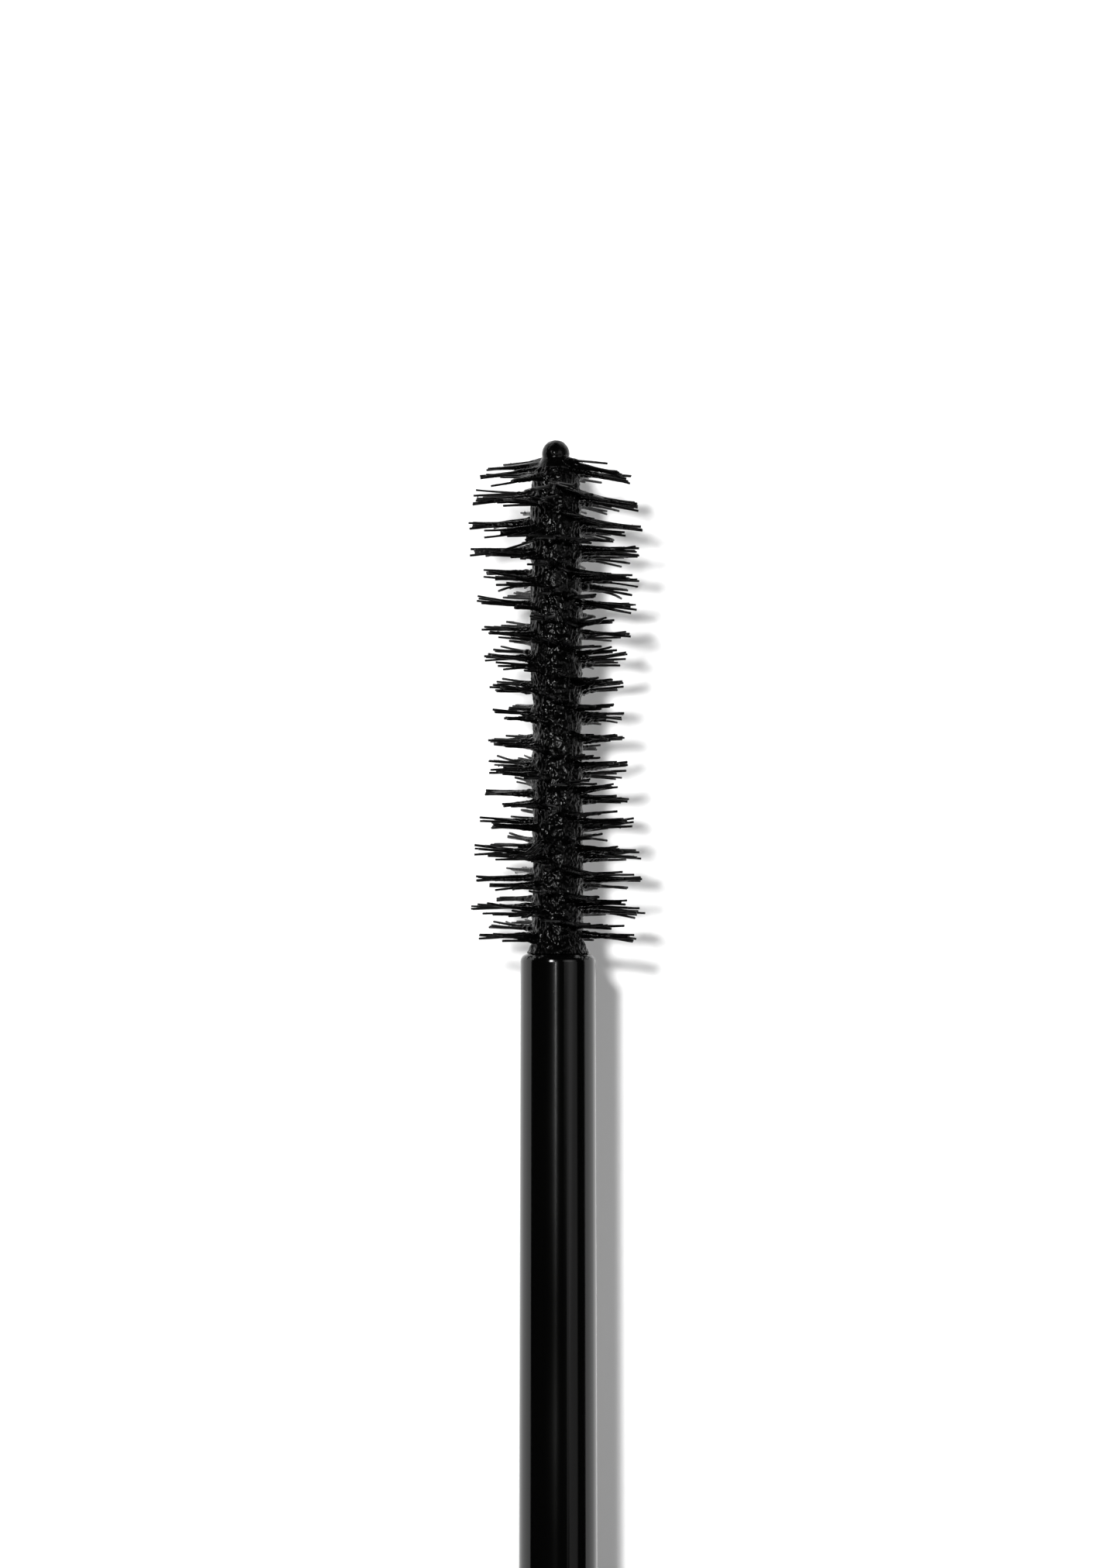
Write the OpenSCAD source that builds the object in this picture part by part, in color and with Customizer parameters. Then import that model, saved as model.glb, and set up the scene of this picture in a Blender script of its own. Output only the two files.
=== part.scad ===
// Mascara: a screw-capped tube with its wand drawn out.
// The piece lies on its side. +Y runs from the cap, along the stem and brush, to the
// base of the bottle, +Z is up, and the origin is on the table under the middle.

/* [Tube] */
// Outside diameter of the bottle and the cap
tube_d = 17; // [14:0.5:22]
// Length of the bottle, from its shoulder to its base
bottle_len = 73; // [60:1:100]
// Length of the cap
cap_len = 47; // [38:1:70]
// Wall of the bottle's sleeve and of the cap's shell
shell_wall = 1.15; // [0.9:0.05:1.5]
// Wall of the vial inside the sleeve
vial_wall = 0.9; // [0.7:0.05:1.2]
// Height of the trim collar on the bottle's shoulder
collar_h = 1.8; // [1:0.1:4]
// Length of the steel weight in the cap's closed end
weight_len = 7; // [3:0.5:12]
// Radius of the rounded edge at the cap's closed end and at the bottle's base
end_round = 1.1; // [0.6:0.1:1.5]

/* [Neck and screw] */
// Length of the neck that stands out of the collar
neck_len = 14; // [11:0.5:20]
// Wall of the neck
neck_wall = 0.85; // [0.7:0.05:1]
// Height of the thread ridge
thread_depth = 0.6; // [0.4:0.05:0.8]
// Advance for one turn
thread_pitch = 3; // [2.4:0.1:3.6]
// Length of each thread ridge, in turns
ridge_turns = 1.1; // [0.8:0.1:1.3]
// Turns that unscrew the cap
cap_turns = 1.5; // [1.5:0.5:2]

/* [Wand] */
// Length of the brush, from the end of the stem to the tip
brush_len = 25.5; // [20:0.5:30]
// Diameter over the bristles at the two full ends of the brush
brush_d = 8.8; // [7:0.1:10.6]
// Diameter over the bristles at the waist
waist_d = 6.8; // [5:0.1:8.2]
// Diameter of the stem where it leaves the cap
stem_root_d = 3.96; // [3.3:0.02:4.8]
// Diameter of the stem at the brush
stem_tip_d = 3.72; // [3.1:0.02:3.9]
// Diameter of the wire that is twisted into the core
wire_d = 0.55; // [0.45:0.05:0.66]
// Advance of the twist for one full turn
twist_pitch = 2.72; // [2.3:0.02:3.4]
// Diameter of one bristle
bristle_d = 0.1; // [0.08:0.01:0.12]
// Number of bristles, each of which crosses the core and shows two ends
bristles = 112; // [60:1:130]

/* [Drawn out] */
// Clear space between the brush's tip and the wiper when the wand is drawn out
open_gap = 34; // [5:1:60]

/* [Hidden] */
$fn = 72;

// Clearances
slip = 0.05;           // between pieces that are pushed together or turn on each other
face_gap = 0.1;        // between faces that meet end to end
closed_gap = 0.2;      // between the cap's rim and the collar when closed
thread_gap = 0.2;      // from a thread crest to the opposite wall
thread_play = 0.25;    // along the axis, between the flanks of the two ridges
tip_gap = 1.6;         // between the brush's tip and the vial's floor when closed
brush_gap = 0.35;      // between the bristles and the formula around them

// Bottle
tube_r = tube_d / 2;
shell_in_r = tube_r - shell_wall;
vial_r = shell_in_r - slip;
vial_in_r = vial_r - vial_wall;
vial_floor = 1.2;
plug_face = 1.6;
plug_spigot = 2.5;
plug_wall = 1.4;
vial_end = bottle_len - plug_face - plug_spigot - face_gap;
sleeve_start = collar_h + slip;
shoulder_t = 1.2;

// Cap insert, which sets the size of the neck inside it
rib_h = 0.3;
rib_w = 0.7;
ribs = 16;
insert_wall = 0.8;
insert_out_r = shell_in_r - slip - rib_h;
insert_in_r = insert_out_r - insert_wall;
insert_recess = 0.5;
ceiling_t = 1.5;
boss_wall = 1.3;
boss_len = 4;

// Neck and threads
neck_r = insert_in_r - thread_gap - thread_depth;
neck_in_r = neck_r - neck_wall;
ridge_base = thread_pitch / 2 - thread_play + 0.35;
ridge_crest = thread_pitch / 2 - thread_play - 0.35;
ridge_start = 2.8;     // from the neck's rim to the middle of the ridge's first end
ridge_steps = 30;      // for one turn
bead_h = 0.25;

// Wiper
flange_t = 0.8;
wiper_wall = 0.75;
wiper_sleeve = 9;
lip_len = 3.2;
lip_wall = 0.55;
land_len = 0.6;
wiper_r = neck_in_r - slip;
wiper_in_r = wiper_r - wiper_wall;
orifice_r = stem_root_d / 2 + slip;

// Seals in the cap
gasket_t = 1;
liner_t = 0.6;
ceiling_depth = neck_len + flange_t - closed_gap + face_gap + gasket_t + face_gap
              + liner_t + slip;

// Wand, measured from the cap's rim towards the tip
wand_reach = vial_end - vial_floor - tip_gap + closed_gap;
stem_len = wand_reach - brush_len;
stem_root_r = stem_root_d / 2;
stem_tip_r = stem_tip_d / 2;
stem_round = 0.36;
stem_head_t = 1;
stem_core_r = 0.95;
socket_depth = 7;
stem_end = -(ceiling_depth + ceiling_t + boss_len + stem_head_t);

// Twisted core: two legs of one folded wire, a bristle's width apart
wire_r = wire_d / 2;
leg_r = wire_r + bristle_d / 2 + 0.01;
core_r = leg_r + wire_r;
bend_z = wand_reach - core_r - 0.1;
untwisted = 0.7;       // length over which the twist fades before the bend
wire_sides = 6;
wire_steps = 10;       // for one turn
first_row = 0.98;      // from the stem's end to the first bristles that lie level

// Bristles and the formula on them
bristle_start = stem_len + 0.75;
bristle_end = wand_reach - 1;
coat_r = 1.27;
coat_foot_r = 1.6;
coat_foot = 1.2;
ball_r = core_r + 0.09;

// Cap
end_wall = 2.2;
disc_r = tube_r - end_round - 0.5;
disc_t = 1;
disc_proud = 0.1;
weight_from = -cap_len + end_wall + disc_t - disc_proud + slip;
insert_back = weight_from + weight_len + face_gap;

// Formula in the vial
fill_start = 13;

// Places along Y
screw_travel = thread_pitch * cap_turns;
length = disc_proud + cap_len + wand_reach + open_gap + flange_t + neck_len + bottle_len;
wand_y = -length / 2 + disc_proud + cap_len;
shoulder_y = length / 2 - bottle_len;
insertion = shoulder_y - wand_y - closed_gap - screw_travel;
echo(insertion_mm = insertion, screw_travel_mm = screw_travel, length_mm = length,
     wand_y = wand_y, shoulder_y = shoulder_y, wand_reach = wand_reach, stem_len = stem_len,
     neck_r = neck_r, vial_in_r = vial_in_r, wiper_in_r = wiper_in_r, vial_end = vial_end);

// ---- Helpers -------------------------------------------------------------------

// Points of an arc about [cx, cz]
function arc(cx, cz, r, from, to, steps = 6) =
    [for (i = [0:steps]) let (a = from + (to - from) * i / steps)
        [cx + r * cos(a), cz + r * sin(a)]];

function unit(v) = v / norm(v);

// Local +Z lies along +Y, from the cap's rim towards the brush's tip
module in_wand() {
    translate([0, wand_y, tube_r]) rotate([-90, 0, 0]) children();
}

// Local +Z lies along +Y, from the bottle's shoulder towards its base
module in_bottle() {
    translate([0, shoulder_y, tube_r]) rotate([-90, 0, 0]) children();
}

module ring(r_out, r_in, from, to) {
    rotate_extrude() translate([r_in, from]) square([r_out - r_in, to - from]);
}

module rod(r, from, to) {
    translate([0, 0, from]) cylinder(r = r, h = to - from);
}

// A closed tube through rings of points, each ring with the same number of sides
module skin(rings) {
    sides = len(rings[0]);
    last = len(rings) - 1;
    points = [for (ring = rings) each ring];
    walls = [for (i = [0:last - 1]) for (j = [0:sides - 1])
        let (k = (j + 1) % sides)
        each [[i * sides + j, (i + 1) * sides + j, (i + 1) * sides + k],
              [i * sides + j, (i + 1) * sides + k, i * sides + k]]];
    foot = [for (j = [0:sides - 1]) j];
    head = [for (j = [sides - 1:-1:0]) last * sides + j];
    polyhedron(points = points, faces = concat(walls, [foot, head]), convexity = 10);
}

// A right-hand thread ridge that stands from root_r to crest_r and fades out at both ends
module thread_ridge(root_r, crest_r) {
    steps = round(ridge_turns * ridge_steps);
    inside = crest_r < root_r;
    buried = inside ? 0.15 : -0.15;
    skin([for (i = [0:steps])
        let (a = 360 * i / ridge_steps,
             z = thread_pitch * i / ridge_steps,
             full = min(1, 0.15 + min(i, steps - i) / 4),
             top = root_r + (crest_r - root_r) * full,
             foot = inside ? ridge_base / 2 : -ridge_base / 2,
             head = inside ? ridge_crest / 2 : -ridge_crest / 2)
        [for (p = [[root_r + buried, -foot], [top, -head], [top, head], [root_r + buried, foot]])
            [p[0] * cos(a), p[0] * sin(a), z + p[1]]]]);
}

// Radius over the bristles: full near both ends, narrow at the waist and at the first rows
function brush_r(z) =
    let (t = (z - stem_len) / brush_len,
         full = brush_d / 2,
         waist = waist_d / 2,
         wave = (full + waist) / 2 + (full - waist) / 2 * cos(360 * (t - 0.09) / 0.75),
         last = max(0, (t - 0.84) / 0.16),
         first = max(0, (0.09 - t) / 0.09))
    (t < 0.09 || t > 0.84 ? full : wave) * (1 - 0.24 * last * last - 0.25 * first * first);

// ---- Bottle --------------------------------------------------------------------

module bottle_shell() {
    color("#101012") in_bottle() rotate_extrude()
        polygon(concat(
            [[shell_in_r, sleeve_start], [tube_r - 0.2, sleeve_start],
             [tube_r, sleeve_start + 0.2]],
            [[tube_r, bottle_len - plug_face - slip - 0.15],
             [tube_r - 0.15, bottle_len - plug_face - slip],
             [shell_in_r, bottle_len - plug_face - slip]]));
}

module base_plug() {
    foot = bottle_len - plug_face;
    color("#101012") in_bottle() rotate_extrude()
        polygon(concat(
            [[0, foot], [shell_in_r - slip - plug_wall, foot],
             [shell_in_r - slip - plug_wall, foot - plug_spigot],
             [shell_in_r - slip, foot - plug_spigot], [shell_in_r - slip, foot],
             [tube_r, foot]],
            arc(tube_r - end_round, bottle_len - end_round, end_round, 0, 90),
            [[0, bottle_len]]));
}

module vial() {
    floor_z = vial_end - vial_floor;
    color("#1c1c20") in_bottle() difference() {
        union() {
            rotate_extrude() polygon(concat(
                [[0, -neck_len], [neck_r - 0.3, -neck_len], [neck_r, -neck_len + 0.3],
                 [neck_r, sleeve_start], [vial_r, sleeve_start]],
                arc(vial_r - 1, vial_end - 1, 1, 0, 90), [[0, vial_end]]));
            // Bead that the collar snaps over
            rotate_extrude() polygon([[neck_r - 0.1, -1], [neck_r + bead_h, -0.55],
                                      [neck_r - 0.1, -0.1]]);
            translate([0, 0, -neck_len + ridge_start]) thread_ridge(neck_r, neck_r + thread_depth);
        }
        rotate_extrude() polygon(concat(
            [[0, -neck_len - 1], [neck_in_r, -neck_len - 1], [neck_in_r, sleeve_start],
             [vial_in_r, sleeve_start + shoulder_t + vial_in_r - neck_in_r]],
            arc(vial_in_r - 1.5, floor_z - 1.5, 1.5, 0, 90), [[0, floor_z]]));
    }
}

module shoulder_collar() {
    color("#55565a") in_bottle() rotate_extrude()
        polygon(concat(
            [[neck_r + slip, collar_h], [neck_r + slip, 0], [tube_r - 0.35, 0]],
            arc(tube_r - 0.35, 0.35, 0.35, -90, 0, 4),
            [[tube_r, collar_h - 0.15], [tube_r - 0.15, collar_h]]));
}

module wiper() {
    rim = -neck_len;
    cone = rim + wiper_sleeve;
    land = cone + lip_len;
    color("#3a3a3e") in_bottle() rotate_extrude()
        polygon([[wiper_in_r, rim - flange_t], [neck_r - 0.15, rim - flange_t],
                 [neck_r - 0.15, rim - slip], [wiper_r, rim - slip], [wiper_r, cone],
                 [orifice_r + lip_wall, land], [orifice_r + lip_wall, land + land_len],
                 [orifice_r, land + land_len], [orifice_r, land], [wiper_in_r, cone]]);
}

module formula_fill() {
    floor_z = vial_end - vial_floor - slip;
    wall_r = vial_in_r - slip;
    channel_r = brush_d / 2 + brush_gap;
    tip_z = wand_reach - closed_gap;
    color("#0a0a0a") in_bottle() rotate_extrude()
        polygon(concat(
            [[channel_r, fill_start + 0.3], [wall_r, fill_start]],
            arc(wall_r - 1.5, floor_z - 1.5, 1.5, 0, 90),
            [[0, floor_z], [0, tip_z + brush_gap]],
            arc(channel_r - 3, tip_z + brush_gap - 3, 3, 90, 0)));
}

// ---- Cap -----------------------------------------------------------------------

module cap_shell() {
    color("#101012") in_wand() rotate_extrude()
        polygon(concat(
            [[0, -cap_len + disc_t - disc_proud], [disc_r + slip, -cap_len + disc_t - disc_proud],
             [disc_r + slip, -cap_len]],
            arc(tube_r - end_round, -cap_len + end_round, end_round, -90, 0),
            [[tube_r, -0.25], [tube_r - 0.25, 0], [shell_in_r + 0.15, 0], [shell_in_r, -0.15],
             [shell_in_r, -cap_len + end_wall + disc_t - disc_proud],
             [0, -cap_len + end_wall + disc_t - disc_proud]]));
}

module cap_end_disc() {
    face = -cap_len - disc_proud;
    color("#55565a") in_wand() rotate_extrude()
        polygon([[0, face], [disc_r - 0.15, face], [disc_r, face + 0.15],
                 [disc_r, face + disc_t - slip], [0, face + disc_t - slip]]);
}

module cap_weight() {
    top = weight_from + weight_len;
    r = shell_in_r - slip;
    color("#8a8d90") in_wand() rotate_extrude()
        polygon([[0, weight_from], [r - 0.3, weight_from], [r, weight_from + 0.3],
                 [r, top - 0.3], [r - 0.3, top], [0, top]]);
}

module cap_insert() {
    back = -(ceiling_depth + ceiling_t);
    boss_r = stem_root_r + boss_wall;
    color("#26262a") in_wand() union() {
        rotate_extrude() polygon([
            [insert_in_r, -insert_recess], [insert_in_r, -ceiling_depth],
            [stem_root_r + slip, -ceiling_depth], [stem_root_r + slip, back - boss_len],
            [boss_r, back - boss_len], [boss_r, back], [insert_in_r, back],
            [insert_in_r, insert_back], [insert_out_r, insert_back],
            [insert_out_r, -insert_recess]]);
        for (i = [0:ribs - 1]) rotate([0, 0, 360 * i / ribs])
            translate([insert_out_r - 0.1, -rib_w / 2, insert_back])
                cube([rib_h + 0.08, rib_w, -insert_recess - 1 - insert_back]);
        // In mesh with the neck's ridge when closed, which is cap_turns further on
        rotate([0, 0, -360 * cap_turns])
            translate([0, 0, closed_gap - neck_len + ridge_start + thread_pitch / 2])
                thread_ridge(insert_in_r, insert_in_r - thread_depth);
    }
}

module cap_liner() {
    color("#d8d8d4") in_wand()
        ring(insert_in_r - slip, stem_root_r + slip, -ceiling_depth + slip,
             -ceiling_depth + slip + liner_t);
}

// Floats on the stem, and stays on the neck while the cap screws down over it
module neck_gasket() {
    at = -ceiling_depth + slip + liner_t + face_gap + screw_travel;
    color("#2c2c30") in_wand()
        ring(insert_in_r - thread_depth - thread_gap, stem_root_r + slip, at, at + gasket_t);
}

// ---- Wand ----------------------------------------------------------------------

module stem() {
    color("#0c0c0e") in_wand() difference() {
        rotate_extrude() polygon(concat(
            [[0, stem_end], [stem_root_r + boss_wall, stem_end],
             [stem_root_r + boss_wall, stem_end + stem_head_t - slip],
             [stem_root_r, stem_end + stem_head_t - slip], [stem_root_r, 0]],
            arc(stem_tip_r - stem_round, stem_len - stem_round, stem_round, 0, 90),
            [[0, stem_len]]));
        rod(core_r + slip, stem_len - socket_depth, stem_len + 1);
        rod(stem_core_r, stem_end - 1, stem_len - socket_depth - 2.5);
    }
}

// Angle of the left-hand twist at a height, which stops turning before the bend
function twist_at(z) =
    let (knee = bend_z - untwisted, over = max(0, z - knee))
    -90 - 360 / twist_pitch
        * (min(z, knee) + over - over * over / (2 * untwisted) - stem_len - first_row);

// One ring of the wire's skin about a point, with tangent t and the fold's own normal n
function wire_ring(p, t, n) =
    let (u = unit(n - (n * t) * t), v = cross(t, u))
    [for (j = [0:wire_sides - 1]) let (a = 360 * j / wire_sides)
        p + wire_r * (u * cos(a) + v * sin(a))];

function leg_point(z, side) =
    [side * leg_r * cos(twist_at(z)), side * leg_r * sin(twist_at(z)), z];

module core_wire() {
    foot = stem_len - socket_depth + 0.3;
    steps = round((bend_z - foot) / twist_pitch * wire_steps);
    heights = [for (i = [0:steps]) foot + (bend_z - foot) * i / steps];
    bend = twist_at(bend_z);
    across = [cos(bend), sin(bend), 0];
    fold = [-sin(bend), cos(bend), 0];
    rise = 0.05;
    up = [for (z = heights) wire_ring(leg_point(z, 1),
            unit(leg_point(min(z + rise, bend_z), 1) - leg_point(min(z, bend_z - rise), 1)),
            [-sin(twist_at(z)), cos(twist_at(z)), 0])];
    turn = [for (a = [30:30:150]) wire_ring(
            leg_r * across * cos(a) + [0, 0, bend_z + leg_r * sin(a)],
            -across * sin(a) + [0, 0, cos(a)], fold)];
    down = [for (i = [steps:-1:0]) let (z = heights[i]) wire_ring(leg_point(z, -1),
            -unit(leg_point(min(z + rise, bend_z), -1) - leg_point(min(z, bend_z - rise), -1)),
            [-sin(twist_at(z)), cos(twist_at(z)), 0])];
    color("#77797c") in_wand() skin(concat(up, turn, down));
}

// Each bristle lies between the wire's legs, square to them
module bristle_set() {
    color("#0a0a0a") in_wand()
        for (i = [0:bristles - 1]) {
            z = bristle_start + (bristle_end - bristle_start) * i / (bristles - 1);
            translate([0, 0, z]) rotate([0, 90, twist_at(z) + 90])
                cylinder(d = bristle_d, h = 2 * brush_r(z), center = true, $fn = 16);
        }
}

module brush_formula() {
    bore = core_r + slip;
    ball_z = wand_reach - ball_r;
    color("#050505") in_wand() rotate_extrude()
        polygon(concat(
            [[bore, stem_len + slip], [coat_foot_r, stem_len + slip],
             [coat_r, stem_len + coat_foot], [coat_r, ball_z - 1.2],
             [ball_r, ball_z - 0.5]],
            arc(0, ball_z, ball_r, 0, 90),
            arc(0, ball_z, bore, 90, 0)));
}

bottle_shell();
base_plug();
vial();
shoulder_collar();
wiper();
formula_fill();
cap_shell();
cap_end_disc();
cap_weight();
cap_insert();
stem();
core_wire();
bristle_set();
brush_formula();
cap_liner();
neck_gasket();
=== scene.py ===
import bpy
import bmesh
import math
import random
import numpy as np
from mathutils import Vector, Matrix, noise


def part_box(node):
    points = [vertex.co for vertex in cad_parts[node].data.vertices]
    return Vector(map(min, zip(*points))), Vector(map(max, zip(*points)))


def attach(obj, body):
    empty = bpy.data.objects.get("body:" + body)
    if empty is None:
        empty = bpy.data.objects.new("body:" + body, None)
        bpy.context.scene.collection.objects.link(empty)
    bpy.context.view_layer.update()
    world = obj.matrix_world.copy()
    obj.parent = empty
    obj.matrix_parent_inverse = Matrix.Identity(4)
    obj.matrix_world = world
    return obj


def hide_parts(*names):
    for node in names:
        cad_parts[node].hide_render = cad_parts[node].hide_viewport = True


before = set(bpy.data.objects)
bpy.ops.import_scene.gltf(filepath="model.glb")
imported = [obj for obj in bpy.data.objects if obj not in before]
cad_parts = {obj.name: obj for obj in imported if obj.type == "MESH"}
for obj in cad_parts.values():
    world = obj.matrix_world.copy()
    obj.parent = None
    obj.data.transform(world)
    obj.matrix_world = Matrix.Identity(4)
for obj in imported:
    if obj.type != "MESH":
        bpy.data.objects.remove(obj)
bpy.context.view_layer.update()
rng = random.Random(1309)

MM = 0.001

# ---- Places on the wand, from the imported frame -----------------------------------
stem_lo, stem_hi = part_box("stem")
coat_lo, coat_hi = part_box("brush_formula")
fibre_lo, fibre_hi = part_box("bristle_set")
AXIS_Z = (stem_lo.z + stem_hi.z) / 2
STEM_END = stem_hi.y
TIP = coat_hi.y
BRUSH = (TIP - STEM_END) / MM            # brush length in mm
FULL_R = (fibre_hi.x - fibre_lo.x) / 2 / MM
WAIST_SHARE = 6.8 / 8.8                  # the waist's diameter over the full one
WAIST_R = FULL_R * WAIST_SHARE
COAT_FOOT_R = (coat_hi.x - coat_lo.x) / 2 / MM
TWIST = 2.72                             # mm for one turn, left-handed
FIRST_ROW = 0.98                         # mm from the stem's end to a level row


def place(bm_or_mesh):
    """Mesh built in mm about the stem's end, with +Y to the tip, moved into the frame."""
    m = Matrix.Translation((0, STEM_END, AXIS_Z)) @ Matrix.Diagonal((MM, MM, MM, 1))
    bm_or_mesh.transform(m)


def new_object(name, mesh, material):
    """An object of that mesh and material, linked into the scene."""
    mesh.name = name
    o = bpy.data.objects.new(name, mesh)
    bpy.context.scene.collection.objects.link(o)
    mesh.materials.clear()
    mesh.materials.append(material)
    return o


# ---- Materials --------------------------------------------------------------------
def material(name):
    """A new material with its node tree and its Principled shader."""
    m = bpy.data.materials.new(name)
    m.use_nodes = True
    nt = m.node_tree
    bsdf = nt.nodes["Principled BSDF"]
    return m, nt, bsdf


def node(nt, kind, **values):
    """A node with its inputs and settings given by name."""
    n = nt.nodes.new(kind)
    for k, v in values.items():
        if k in n.inputs:
            n.inputs[k].default_value = v
        else:
            setattr(n, k, v)
    return n


def object_coords(nt, scale=(1, 1, 1)):
    tc = nt.nodes.new("ShaderNodeTexCoord")
    mp = nt.nodes.new("ShaderNodeMapping")
    mp.inputs["Scale"].default_value = scale
    nt.links.new(tc.outputs["Object"], mp.inputs["Vector"])
    return mp.outputs["Vector"]


def noise_tex(nt, vector, scale, detail=3.0, roughness=0.5):
    n = node(nt, "ShaderNodeTexNoise", Scale=scale, Detail=detail, Roughness=roughness)
    nt.links.new(vector, n.inputs["Vector"])
    return n.outputs["Fac"]


def ramp(nt, fac, stops):
    r = nt.nodes.new("ShaderNodeValToRGB")
    r.color_ramp.elements[0].position = stops[0][0]
    r.color_ramp.elements[1].position = stops[-1][0]
    for s in stops[1:-1]:
        r.color_ramp.elements.new(s[0])
    for e, s in zip(sorted(r.color_ramp.elements, key=lambda e: e.position), stops):
        c = s[1]
        e.color = (c, c, c, 1) if not hasattr(c, "__len__") else (*c, 1)
    nt.links.new(fac, r.inputs["Fac"])
    return r.outputs["Color"]


def bump(nt, height, distance, strength=1.0, under=None):
    b = node(nt, "ShaderNodeBump", Strength=strength, Distance=distance)
    nt.links.new(height, b.inputs["Height"])
    if under is not None:
        nt.links.new(under, b.inputs["Normal"])
    return b.outputs["Normal"]


def gloss_plastic(name, color, rough=(0.07, 0.13), dust=0.6, peel=0.0000015, ior=1.5):
    """Injection-moulded gloss: faint orange peel, a little dust and uneven polish."""
    m, nt, b = material(name)
    v = object_coords(nt)
    polish = noise_tex(nt, v, 90, 3)
    r = ramp(nt, polish, [(0.35, rough[0]), (0.65, rough[1])])
    nt.links.new(r, b.inputs["Roughness"])
    specks = nt.nodes.new("ShaderNodeTexVoronoi")
    specks.inputs["Scale"].default_value = 900
    nt.links.new(v, specks.inputs["Vector"])
    mask = ramp(nt, specks.outputs["Distance"], [(0.0, dust), (0.045, 0.0)])
    pick = ramp(nt, noise_tex(nt, v, 300, 1), [(0.60, 0.0), (0.66, 1.0)])
    both = node(nt, "ShaderNodeMath", operation="MULTIPLY")
    nt.links.new(mask, both.inputs[0])
    nt.links.new(pick, both.inputs[1])
    mix = nt.nodes.new("ShaderNodeMix")
    mix.data_type = "RGBA"
    mix.inputs["A"].default_value = (*color, 1)
    mix.inputs["B"].default_value = (0.22, 0.22, 0.22, 1)
    nt.links.new(both.outputs[0], mix.inputs["Factor"])
    nt.links.new(mix.outputs["Result"], b.inputs["Base Color"])
    b.inputs["IOR"].default_value = ior
    nt.links.new(bump(nt, noise_tex(nt, v, 520, 2), peel), b.inputs["Normal"])
    return m


def satin_metal(name, color, rough=0.32, axis_scale=(1, 400, 1)):
    """Turned and anodised: fine rings round the axis and slight tone variation."""
    m, nt, b = material(name)
    v = object_coords(nt)
    rings = noise_tex(nt, object_coords(nt, axis_scale), 30, 4, 0.65)
    tone = ramp(nt, noise_tex(nt, v, 60, 3), [(0.3, [c * 0.82 for c in color]), (0.7, color)])
    nt.links.new(tone, b.inputs["Base Color"])
    b.inputs["Metallic"].default_value = 1.0
    r = ramp(nt, rings, [(0.3, rough * 0.8), (0.7, rough * 1.25)])
    nt.links.new(r, b.inputs["Roughness"])
    nt.links.new(bump(nt, rings, 0.000002), b.inputs["Normal"])
    return m


def satin_plastic(name, color, rough=(0.38, 0.5), grain=0.000004, scale=2200):
    """Spark-eroded moulded surface: fine even grain, slightly uneven sheen."""
    m, nt, b = material(name)
    v = object_coords(nt)
    tone = ramp(nt, noise_tex(nt, v, 150, 4), [(0.3, [c * 0.8 for c in color]), (0.7, color)])
    nt.links.new(tone, b.inputs["Base Color"])
    sheen = ramp(nt, noise_tex(nt, v, 260, 2), [(0.3, rough[0]), (0.7, rough[1])])
    nt.links.new(sheen, b.inputs["Roughness"])
    nt.links.new(bump(nt, noise_tex(nt, v, scale, 3), grain), b.inputs["Normal"])
    b.inputs["IOR"].default_value = 1.48
    return m


def wet_formula(name, rough=(0.13, 0.28), bump_depth=0.00002, scale=4200):
    """Wet black paste: soft lumps, glossy tops and duller hollows."""
    m, nt, b = material(name)
    v = object_coords(nt)
    lumps = noise_tex(nt, v, scale, 3, 0.55)
    nt.links.new(ramp(nt, lumps, [(0.3, 0.0004), (0.75, 0.001)]), b.inputs["Base Color"])
    gloss = ramp(nt, noise_tex(nt, v, scale * 0.5, 2), [(0.35, rough[0]), (0.65, rough[1])])
    nt.links.new(gloss, b.inputs["Roughness"])
    first = bump(nt, lumps, bump_depth)
    vor = nt.nodes.new("ShaderNodeTexVoronoi")
    vor.feature = "SMOOTH_F1"
    vor.inputs["Scale"].default_value = scale * 1.3
    nt.links.new(v, vor.inputs["Vector"])
    both = bump(nt, vor.outputs["Distance"], bump_depth * 0.6, 1.0, first)
    nt.links.new(both, b.inputs["Normal"])
    b.inputs["IOR"].default_value = 1.26
    return m


def fibre_material(name):
    """Nylon fibre under a thin drying coat: slightly uneven, with tiny crumbs."""
    m, nt, b = material(name)
    v = object_coords(nt)
    crumbs = noise_tex(nt, v, 9000, 3, 0.6)
    nt.links.new(ramp(nt, crumbs, [(0.3, 0.0004), (0.8, 0.0016)]), b.inputs["Base Color"])
    gloss = ramp(nt, noise_tex(nt, v, 3000, 2), [(0.35, 0.3), (0.7, 0.48)])
    nt.links.new(gloss, b.inputs["Roughness"])
    nt.links.new(bump(nt, crumbs, 0.000012), b.inputs["Normal"])
    b.inputs["IOR"].default_value = 1.26
    return m


def rubber(name, color, rough=(0.55, 0.72)):
    """Moulded elastomer: dull, with a slightly uneven tone."""
    m, nt, b = material(name)
    v = object_coords(nt)
    tone = ramp(nt, noise_tex(nt, v, 240, 4), [(0.3, [c * 0.75 for c in color]), (0.7, color)])
    nt.links.new(tone, b.inputs["Base Color"])
    dull = ramp(nt, noise_tex(nt, v, 500, 2), [(0.3, rough[0]), (0.7, rough[1])])
    nt.links.new(dull, b.inputs["Roughness"])
    nt.links.new(bump(nt, noise_tex(nt, v, 3000, 2), 0.000005), b.inputs["Normal"])
    b.inputs["IOR"].default_value = 1.45
    return m


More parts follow.
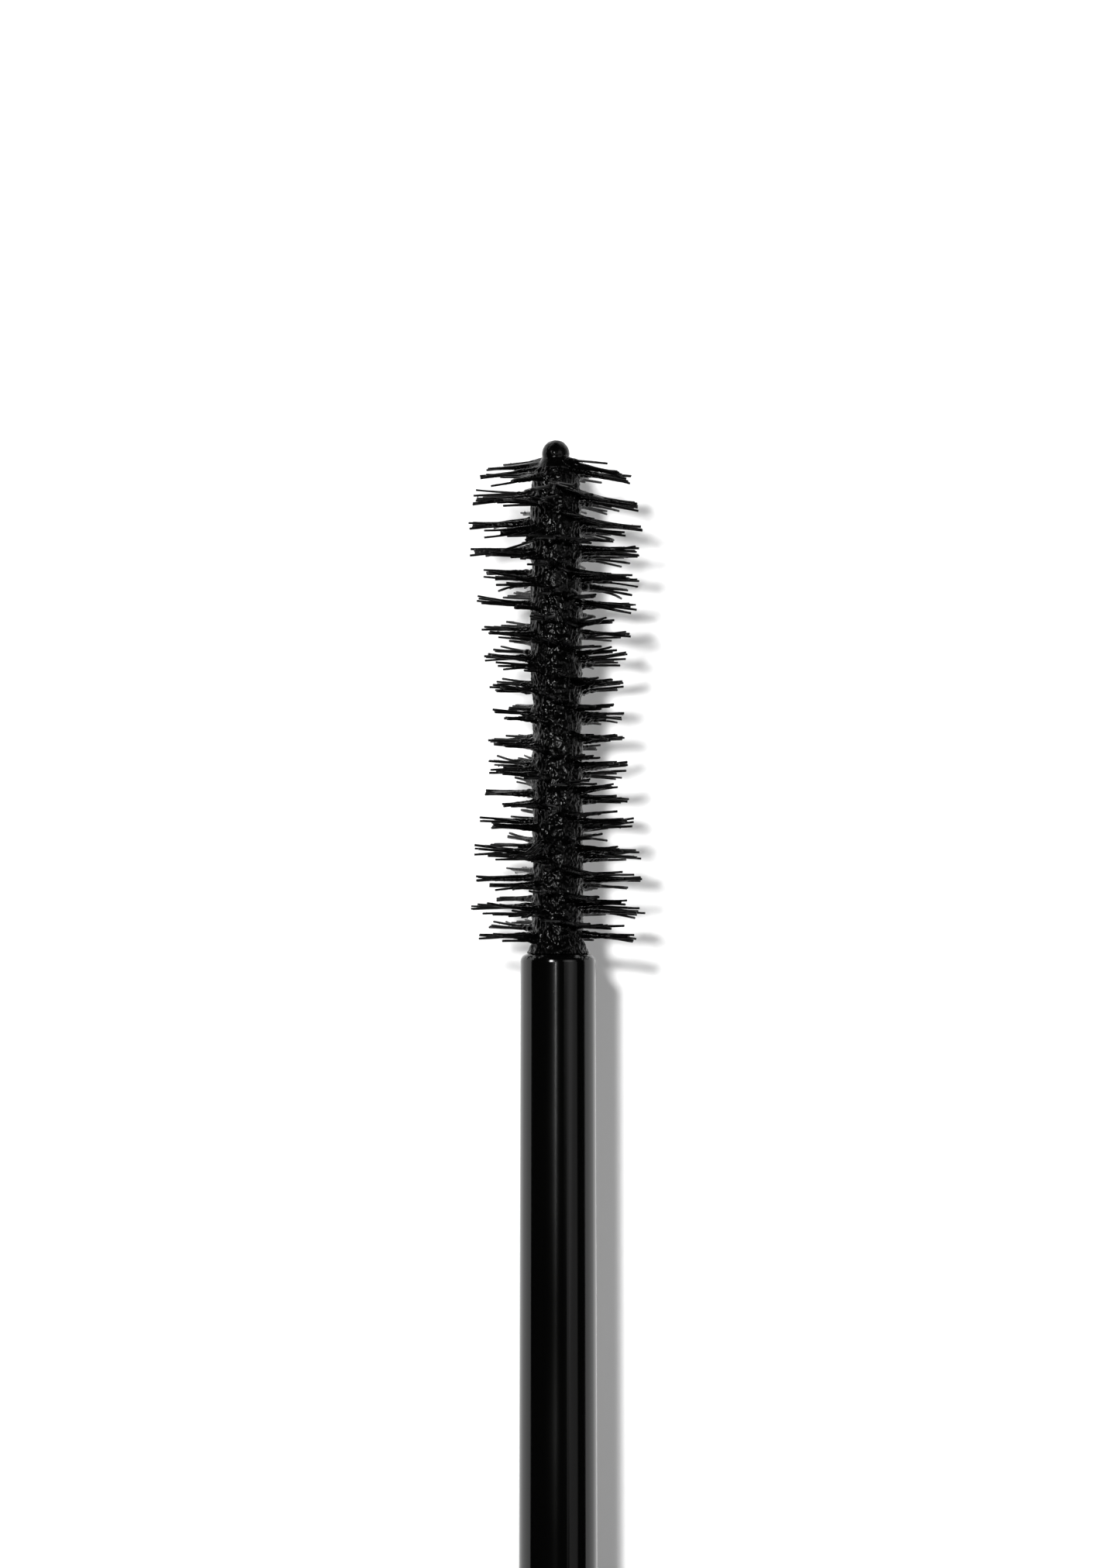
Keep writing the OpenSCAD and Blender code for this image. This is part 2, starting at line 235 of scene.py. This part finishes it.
def foam(name, color):
    """Closed-cell liner: tiny cells show as a pitted face, with painted shade darkening the bottom of each
    pit.
    """
    m, nt, b = material(name)
    v = object_coords(nt)
    cells = nt.nodes.new("ShaderNodeTexVoronoi")
    cells.inputs["Scale"].default_value = 2600
    nt.links.new(v, cells.inputs["Vector"])
    # painted shade: the colour darkens towards each cell's middle, where the bump sinks into a pit
    tone = ramp(nt, cells.outputs["Distance"], [(0.1, [c * 0.7 for c in color]), (0.5, color)])
    nt.links.new(tone, b.inputs["Base Color"])
    b.inputs["Roughness"].default_value = 0.8
    nt.links.new(bump(nt, cells.outputs["Distance"], 0.00003), b.inputs["Normal"])
    return m


BLACK = (0.006, 0.006, 0.0065)
STEM_BLACK = (0.0008, 0.0008, 0.0008)
gloss_black = gloss_plastic("gloss_black", BLACK)
stem_black = gloss_plastic("stem_black", STEM_BLACK, rough=(0.09, 0.12), dust=0.3, peel=0.0000004, ior=1.43)
trim = satin_metal("satin_trim", (0.12, 0.12, 0.125))
steel = satin_metal("weight_steel", (0.5, 0.5, 0.5), 0.28, (60, 60, 60))
wire = satin_metal("wire_steel", (0.42, 0.42, 0.43), 0.25, (40, 40, 40))
vial_black = satin_plastic("vial_plastic", (0.012, 0.012, 0.013), rough=(0.2, 0.3), grain=0.0000015)
insert_black = satin_plastic("insert_plastic", (0.014, 0.014, 0.015))
formula = wet_formula("formula")
fibres = fibre_material("bristle_nylon")
wiper_rubber = rubber("wiper_elastomer", (0.028, 0.028, 0.03), (0.32, 0.45))
gasket_black = rubber("gasket_rubber", (0.02, 0.02, 0.021))
liner_white = foam("liner_foam", (0.72, 0.72, 0.69))

NODE_MATERIAL = {
    "bottle_shell": gloss_black, "base_plug": gloss_black, "vial": vial_black,
    "shoulder_collar": trim, "wiper": wiper_rubber, "formula_fill": formula,
    "cap_shell": gloss_black, "cap_end_disc": trim, "cap_weight": steel,
    "cap_insert": insert_black, "stem": stem_black, "core_wire": wire,
    "bristle_set": fibres, "brush_formula": formula, "cap_liner": liner_white,
    "neck_gasket": gasket_black,
}
for name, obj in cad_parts.items():
    obj.data.materials.clear()
    obj.data.materials.append(NODE_MATERIAL[name])


# ---- The brush's form, in mm from the stem's end, with +Y to the tip -------------------
WAIST_FROM, WAIST_TO = 0.09, 0.84        # shares of the length between which it is waisted
FOOT_TAPER, TIP_TAPER = 0.25, 0.24       # how much narrower the envelope ends, as a share
BOW = -0.11                              # sideways drift of the core at the tip
# slope of the bristles by share of the length, at each side; positive leans to the stem
LEFT_LEAN = [(0.0, -0.02), (0.1, -0.03), (0.3, -0.06), (0.55, -0.08), (0.7, 0.0), (0.9, 0.05), (1, 0.08)]
RIGHT_LEAN = [(0.0, -0.02), (0.1, 0.02), (0.3, -0.05), (0.55, -0.06), (0.7, 0.05), (0.9, 0.14), (1, 0.0)]

FIBRES = 440                             # each shows at both sides of the core
START, END = 0.62, BRUSH - 0.95          # places of the first and the last fibre
ROOT_R = 0.55                            # where a fibre leaves the wires
CORE_R = 1.23                            # radius of the paste on the core
RINGS = 12                               # steps along a fibre
FIBRE_SIDES, SLEEVE_SIDES, CORE_SIDES = 7, 6, 32
CLUMP_SIZES = (1, 2, 3, 4, 5, 6)
CLUMP_ODDS = (12, 14, 22, 22, 18, 12)
GATHER_R, GATHER_OVER = 0.7, 0.6         # a fibre joins its clump from this radius, over this much
PART_OVER, LOOSEST = 1.6, 0.25           # past the paste it parts over this much, down to this share


def envelope(s):
    """Radius over the bristle tips."""
    t = s / BRUSH
    if t < WAIST_FROM or t > WAIST_TO:
        r = FULL_R
    else:
        turn = math.tau * (t - WAIST_FROM) / (WAIST_TO - WAIST_FROM)
        r = (FULL_R + WAIST_R) / 2 + (FULL_R - WAIST_R) / 2 * math.cos(turn)
    last = max(0, (t - WAIST_TO) / (1 - WAIST_TO))
    first = max(0, (WAIST_FROM - t) / WAIST_FROM)
    return r * (1 - TIP_TAPER * last ** 2 - FOOT_TAPER * first ** 2)


def bend(s):
    """The core's own slight bow to the side."""
    t = max(0, min(1, s / BRUSH))
    return BOW * t * t * (3 - 2 * t)


def between(points, t):
    """Value at t on a line through points."""
    for (a, va), (b, vb) in zip(points, points[1:]):
        if t <= b:
            return va + (vb - va) * max(0, (t - a) / (b - a))
    return points[-1][1]


def lean(s, phi):
    """Slope of the bristles along the brush in direction phi."""
    left = between(LEFT_LEAN, s / BRUSH)
    right = between(RIGHT_LEAN, s / BRUSH)
    return (left + right) / 2 + (right - left) / 2 * math.cos(phi)


def turn_at(s):
    """Direction of the fibres that the twisted wires hold at s."""
    return math.tau * (s - FIRST_ROW) / TWIST


def polar(s, phi, r):
    """Point at radius r in direction phi, where phi turns from +X up to +Z."""
    return Vector((bend(s) + r * math.cos(phi), s, r * math.sin(phi)))


def tube(bm, points, radii, sides, phase=0.0):
    """A closed tube along points."""
    rings = []
    last = len(points) - 1
    for i, p in enumerate(points):
        t = (points[min(i + 1, last)] - points[max(i - 1, 0)]).normalized()
        u = t.cross(Vector((0, 1, 0)))
        if u.length < 1e-4:
            u = t.cross(Vector((1, 0, 0)))
        u.normalize()
        v = t.cross(u)
        ring = []
        for k in range(sides):
            a = phase + math.tau * k / sides
            ring.append(bm.verts.new(p + (u * math.cos(a) + v * math.sin(a)) * radii[i]))
        rings.append(ring)
    for a, b in zip(rings, rings[1:]):
        for k in range(sides):
            bm.faces.new((a[k], a[(k + 1) % sides], b[(k + 1) % sides], b[k]))
    bm.faces.new(list(reversed(rings[0])))
    bm.faces.new(rings[-1])


# ---- Fibres, crumbs and webs -------------------------------------------------------------
def lay_fibres():
    """Place and direction of each fibre, one after another along the twist."""
    laid = []
    for i in range(FIBRES):
        s = START + (END - START) * (i + 0.5 + rng.uniform(-0.35, 0.35)) / FIBRES
        laid.append((s, turn_at(s) + rng.gauss(0, 0.10)))
    return laid


def gather_clumps():
    """Neighbours that the paste holds together, at each side of the core."""
    clumps = []
    for side in (0, 1):
        i = 0
        while i < FIBRES:
            size = rng.choices(CLUMP_SIZES, CLUMP_ODDS)[0]
            clumps.append((side, list(range(i, min(FIBRES, i + size)))))
            i += size
    return clumps


def strand(root, middle, hold, reach, slope, curl, stick):
    """Points of one fibre from the core out: it follows its clump, then goes its own way."""
    points = []
    for k in range(RINGS + 1):
        r = ROOT_R + (reach - ROOT_R) * (k / RINGS)
        g = min(1.0, max(0.0, (r - GATHER_R) / GATHER_OVER))
        g = g * stick * (1 if r < hold else max(LOOSEST, 1 - (r - hold) / PART_OVER))
        s = root[0] + (middle[0] - root[0]) * g
        phi = root[1] + (middle[1] - root[1]) * g
        away = r - ROOT_R
        out = slope * away + curl * away * away * 0.12
        points.append(polar(s, phi, r) + Vector((0, -out, 0)))
    return points


def add_crumbs(points, bare):
    """Crumbs of paste stuck along a fibre."""
    for _ in range(rng.choices((0, 1, 2, 3), (40, 30, 20, 10))[0]):
        at = rng.uniform(0.35, 0.98)
        k = int(at * RINGS)
        centre = points[k].lerp(points[min(k + 1, RINGS)], at * RINGS - k)
        off = Vector((rng.gauss(0, 1), rng.gauss(0, 1), rng.gauss(0, 1))).normalized() * (bare + 0.008)
        size = rng.uniform(0.022, 0.045)
        squash = Matrix.Diagonal((1, rng.uniform(0.7, 1.3), rng.uniform(0.7, 1.2), 1))
        spot = Matrix.Translation(centre + off) @ squash
        bmesh.ops.create_icosphere(fibre_bm, subdivisions=1, radius=size, matrix=spot)


def add_fibre(points, lump_offset):
    """Bare nylon under a thin coat, thicker near the core and in odd lumps."""
    bare = rng.uniform(0.047, 0.060)
    coat = rng.uniform(0.004, 0.026)
    radii = []
    for k, p in enumerate(points):
        u = k / RINGS
        lump = max(0.0, noise.noise(p * 3.1 + lump_offset)) * 0.035
        radii.append(bare + coat * (1.15 - u) + lump * (1 - 0.6 * u))
    radii[-1] = bare + 0.003
    tube(fibre_bm, points, radii, FIBRE_SIDES, rng.uniform(0, 1))
    add_crumbs(points, bare)


def add_sleeve(points, hold, reach, env):
    """The paste that gathers round a fibre near the core."""
    radii = [max(0.035, 0.25 - 0.22 * (k / RINGS) * env / max(hold, 0.6)) for k in range(RINGS + 1)]
    last = max(2, min(RINGS, int(RINGS * (hold - ROOT_R) / (reach - ROOT_R)) + 1))
    tube(paste_bm, points[:last + 1], radii[:last + 1], SLEEVE_SIDES)


def add_web(a, b, hold, env):
    """A film of paste between two neighbours in a clump."""
    share = (hold - ROOT_R) / (env - ROOT_R) * rng.uniform(0.75, 1.0)
    last = max(2, min(RINGS, int(RINGS * share)))
    top, low = [], []
    for k in range(last + 1):
        p, q = a[k], b[k]
        along = (a[min(k + 1, RINGS)] - a[max(k - 1, 0)]).normalized()
        normal = along.cross(q - p)
        if normal.length < 1e-6:
            normal = Vector((0, 0, 1))
        normal.normalize()
        h = 0.075 + 0.05 * (1 - k / last)
        top.append((paste_bm.verts.new(p + normal * h), paste_bm.verts.new(q + normal * h)))
        low.append((paste_bm.verts.new(p - normal * h), paste_bm.verts.new(q - normal * h)))
    face = paste_bm.faces.new
    for k in range(last):
        face((top[k][0], top[k][1], top[k + 1][1], top[k + 1][0]))
        face((low[k][0], low[k + 1][0], low[k + 1][1], low[k][1]))
        face((top[k][0], top[k + 1][0], low[k + 1][0], low[k][0]))
        face((top[k][1], low[k][1], low[k + 1][1], top[k + 1][1]))
    face((top[0][0], low[0][0], low[0][1], top[0][1]))
    face((top[last][0], top[last][1], low[last][1], low[last][0]))


def add_clump(side, roots):
    """Fibres that lean and reach together, with their sleeves and webs."""
    middle = (sum(s for s, phi in roots) / len(roots) + rng.gauss(0, 0.05),
              sum(phi for s, phi in roots) / len(roots) + rng.gauss(0, 0.06))
    env = envelope(middle[0])
    shared_reach = env * (1.02 - abs(rng.gauss(0, 0.03)))
    if rng.random() < 0.10:
        shared_reach *= rng.uniform(0.62, 0.85)
    wet = rng.random()
    hold = CORE_R + (env - CORE_R) * (rng.uniform(0.3, 0.85) if wet < 0.85 else 1.0)
    if len(roots) == 1:
        hold = CORE_R + 0.45
    shared_slope = lean(*middle) + rng.gauss(0, 0.05)
    if rng.random() < 0.05:
        shared_slope += rng.choice((-1, 1)) * rng.uniform(0.12, 0.26)
    stick = rng.uniform(0.55, 0.95)
    lines = []
    for n, root in enumerate(roots):
        slope = shared_slope + (0 if hold > env * 0.98 else rng.gauss(0, 0.035))
        reach = shared_reach * (1 - abs(rng.gauss(0, 0.03)))
        if rng.random() < 0.07:
            reach *= rng.uniform(0.6, 0.9)
        points = strand(root, middle, hold, reach, slope, rng.gauss(0, 0.05), stick)
        add_fibre(points, Vector((n, side * 9, 0)))
        add_sleeve(points, hold, reach, env)
        lines.append(points)
    for a, b in zip(lines, lines[1:]):
        add_web(a, b, hold, env)


# ---- The paste on the core ---------------------------------------------------------------
FOOT = 0.8                               # the coat narrows from the stem over this length
NOSE, NOSE_OVER = 2.0, 1.3               # and from this far before the tip, over this much
NOSE_R, LEAST_NOSE_R = 0.60, 0.58
BALL_R = 0.69
BALL_TOP = 1.35                          # the ball is smoother over this length


def add_core():
    """Coat on the wires, from the stem's end to the ball over their folded tip."""
    steps = 140
    points, radii = [], []
    for k in range(steps + 1):
        s = 0.04 + (BRUSH - 0.75) * k / steps
        points.append(Vector((bend(s), s, 0)))
        r = CORE_R + 0.08 * noise.noise(Vector((0, s * 1.7, 3.3)))
        if s < FOOT:
            r = COAT_FOOT_R + (CORE_R - COAT_FOOT_R) * (s / FOOT) ** 0.7
        if s > BRUSH - NOSE:
            r = CORE_R + (NOSE_R - CORE_R) * ((s - BRUSH + NOSE) / NOSE_OVER)
            r = max(r, LEAST_NOSE_R)
        radii.append(r)
    tube(paste_bm, points, radii, CORE_SIDES)
    tip = Matrix.Translation((bend(BRUSH), BRUSH - BALL_R, 0))
    bmesh.ops.create_icosphere(paste_bm, subdivisions=4, radius=BALL_R, matrix=tip)


def merge(paste):
    """One skin over all the paste's overlapping tubes and webs."""
    voxel = paste.modifiers.new("voxel", "REMESH")
    voxel.mode = "VOXEL"
    voxel.voxel_size = 0.045
    smooth = paste.modifiers.new("smooth", "SMOOTH")
    smooth.iterations = 2
    smooth.factor = 0.5
    graph = bpy.context.evaluated_depsgraph_get()
    merged = bpy.data.meshes.new_from_object(paste.evaluated_get(graph))
    paste.modifiers.clear()
    paste.data = merged


def add_lumps(mesh):
    """Lumps and hollows of the wet coat, fading out along the bristles and at the ball."""
    count = len(mesh.vertices)
    places = np.zeros(count * 3)
    normals = np.zeros(count * 3)
    mesh.vertices.foreach_get("co", places)
    mesh.vertex_normals.foreach_get("vector", normals)
    places = places.reshape(-1, 3)
    normals = normals.reshape(-1, 3)
    for i in range(count):
        x, y, z = places[i]
        near = max(0.0, min(1.0, (2.6 - math.hypot(x - bend(y), z)) / 1.2))
        if near == 0.0:
            continue
        coarse = noise.noise((x * 2.6, y * 1.7, z * 2.6))
        fine = noise.noise((x * 6.5 + 9, y * 4.0, z * 6.5))
        finest = noise.noise((x * 13 + 5, y * 9, z * 13))
        d = 0.07 * coarse + 0.06 * fine + 0.025 * finest
        if y > BRUSH - BALL_TOP:
            d *= 0.15
        places[i] += normals[i] * (d * near)
    mesh.vertices.foreach_set("co", places.ravel())
    mesh.update()


fibre_bm = bmesh.new()
paste_bm = bmesh.new()
laid_fibres = lay_fibres()
for side, members in gather_clumps():
    add_clump(side, [(laid_fibres[i][0], laid_fibres[i][1] + math.pi * side) for i in members])
add_core()

paste_mesh = bpy.data.meshes.new("paste_raw")
bmesh.ops.recalc_face_normals(paste_bm, faces=paste_bm.faces)
paste_bm.to_mesh(paste_mesh)
paste_bm.free()
paste = new_object("brush_paste", paste_mesh, formula)
merge(paste)
add_lumps(paste.data)
for f in paste.data.polygons:
    f.use_smooth = True
place(paste.data)
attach(paste, "wand")
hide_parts("brush_formula")

fibre_mesh = bpy.data.meshes.new("bristles_raw")
fibre_bm.to_mesh(fibre_mesh)
fibre_bm.free()
for f in fibre_mesh.polygons:
    f.use_smooth = len(f.vertices) <= 4   # the cut ends stay flat
place(fibre_mesh)
bristles = new_object("bristles", fibre_mesh, fibres)
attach(bristles, "wand")
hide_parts("bristle_set")


# ---- Floor -------------------------------------------------------------------------------
FLOOR_HALF = 6.0
floor_mesh = bpy.data.meshes.new("floor")
corners = [(x * FLOOR_HALF, y * FLOOR_HALF, 0) for x, y in ((-1, -1), (1, -1), (1, 1), (-1, 1))]
floor_mesh.from_pydata(corners, [], [(0, 1, 2, 3)])
floor_paper, _, paper = material("floor_paper")
paper.inputs["Base Color"].default_value = (0.86, 0.86, 0.86, 1)
paper.inputs["Roughness"].default_value = 0.85
paper.inputs["Specular IOR Level"].default_value = 0.2
floor = new_object("floor", floor_mesh, floor_paper)


# ---- Lights ------------------------------------------------------------------------------
VIEW = Vector((0.0001, TIP - 0.017065, AXIS_Z))   # the middle of the picture
KEY_SLOPE = (-1.31 / 8.5, 1.58 / 8.5)    # the shadow's offset over the axis' height
KEY_AWAY, PANEL_AWAY = 1.6, 1.2
SHEEN_EDGE = math.radians(23.2)          # where the sheen starts, from straight above
SHEEN_REACH = 0.6


def area(name, aim, direction, distance, size, watts, glossy=True, diffuse=True):
    """A rectangular light that the camera doesn't see, turned to face aim."""
    d = Vector(direction).normalized()
    light = bpy.data.lights.new(name, "AREA")
    light.shape = "RECTANGLE"
    light.size, light.size_y = size
    light.energy = watts
    o = bpy.data.objects.new(name, light)
    bpy.context.scene.collection.objects.link(o)
    o.location = aim + d * distance
    o.rotation_mode = "QUATERNION"
    o.rotation_quaternion = d.to_track_quat("Z", "Y")
    o.visible_camera = False
    o.visible_glossy = glossy
    o.visible_diffuse = diffuse
    return o


# the key light throws the shadow to the right and towards the cap
area("key", VIEW, (*KEY_SLOPE, 1), KEY_AWAY, (0.12, 0.12), 30, glossy=False)
# the strip shows as the narrow streak in the stem
area("strip", VIEW, (-0.262, 0.152, 1), PANEL_AWAY, (0.16, 0.5), 9.0, diffuse=False)
area("fill", VIEW, (0.70, 0.12, 1), PANEL_AWAY, (0.5, 0.6), 3.0, glossy=False)
# three overlapping panels show as the soft band on the stem's right
for size, end, watts in ((0.92, -0.045, 0.7), (0.6, -0.075, 0.56), (0.34, -0.105, 0.4)):
    a = SHEEN_EDGE + math.atan(size / 2 / PANEL_AWAY)
    slope = (math.sin(a), (end + SHEEN_REACH / 2) / PANEL_AWAY, math.cos(a))
    area("sheen", VIEW, slope, PANEL_AWAY, (size, SHEEN_REACH), watts, diffuse=False)


def plain_background(background, strength):
    """White light of that strength from all round."""
    background.inputs["Color"].default_value = (1, 1, 1, 1)
    background.inputs["Strength"].default_value = strength
    return background.outputs[0]


# the room lights the scene softly but hardly shows in the gloss
world = bpy.data.worlds.new("studio")
bpy.context.scene.world = world
world.use_nodes = True
wnt = world.node_tree
room = plain_background(wnt.nodes["Background"], 0.25)
in_gloss = plain_background(wnt.nodes.new("ShaderNodeBackground"), 0.003)
path = wnt.nodes.new("ShaderNodeLightPath")
pick = wnt.nodes.new("ShaderNodeMixShader")
wnt.links.new(path.outputs["Is Glossy Ray"], pick.inputs["Fac"])
wnt.links.new(room, pick.inputs[1])
wnt.links.new(in_gloss, pick.inputs[2])
wnt.links.new(pick.outputs[0], wnt.nodes["World Output"].inputs["Surface"])


# ---- Camera, straight above ----------------------------------------------------------------
SENSOR = 36
PICTURE_HEIGHT = 0.0778077               # what the picture's long side takes in
CAMERA_AWAY = 0.5

cam = bpy.data.cameras.new("camera")
cam.sensor_width = SENSOR
cam.lens = SENSOR * CAMERA_AWAY / PICTURE_HEIGHT
cam.clip_start, cam.clip_end = 0.01, 50
camera = bpy.data.objects.new("camera", cam)
bpy.context.scene.collection.objects.link(camera)
camera.location = VIEW + Vector((0, 0, CAMERA_AWAY))
camera.rotation_euler = (0, 0, 0)
bpy.context.scene.camera = camera
bpy.context.scene.view_settings.view_transform = "Standard"
bpy.context.scene.view_settings.look = "None"
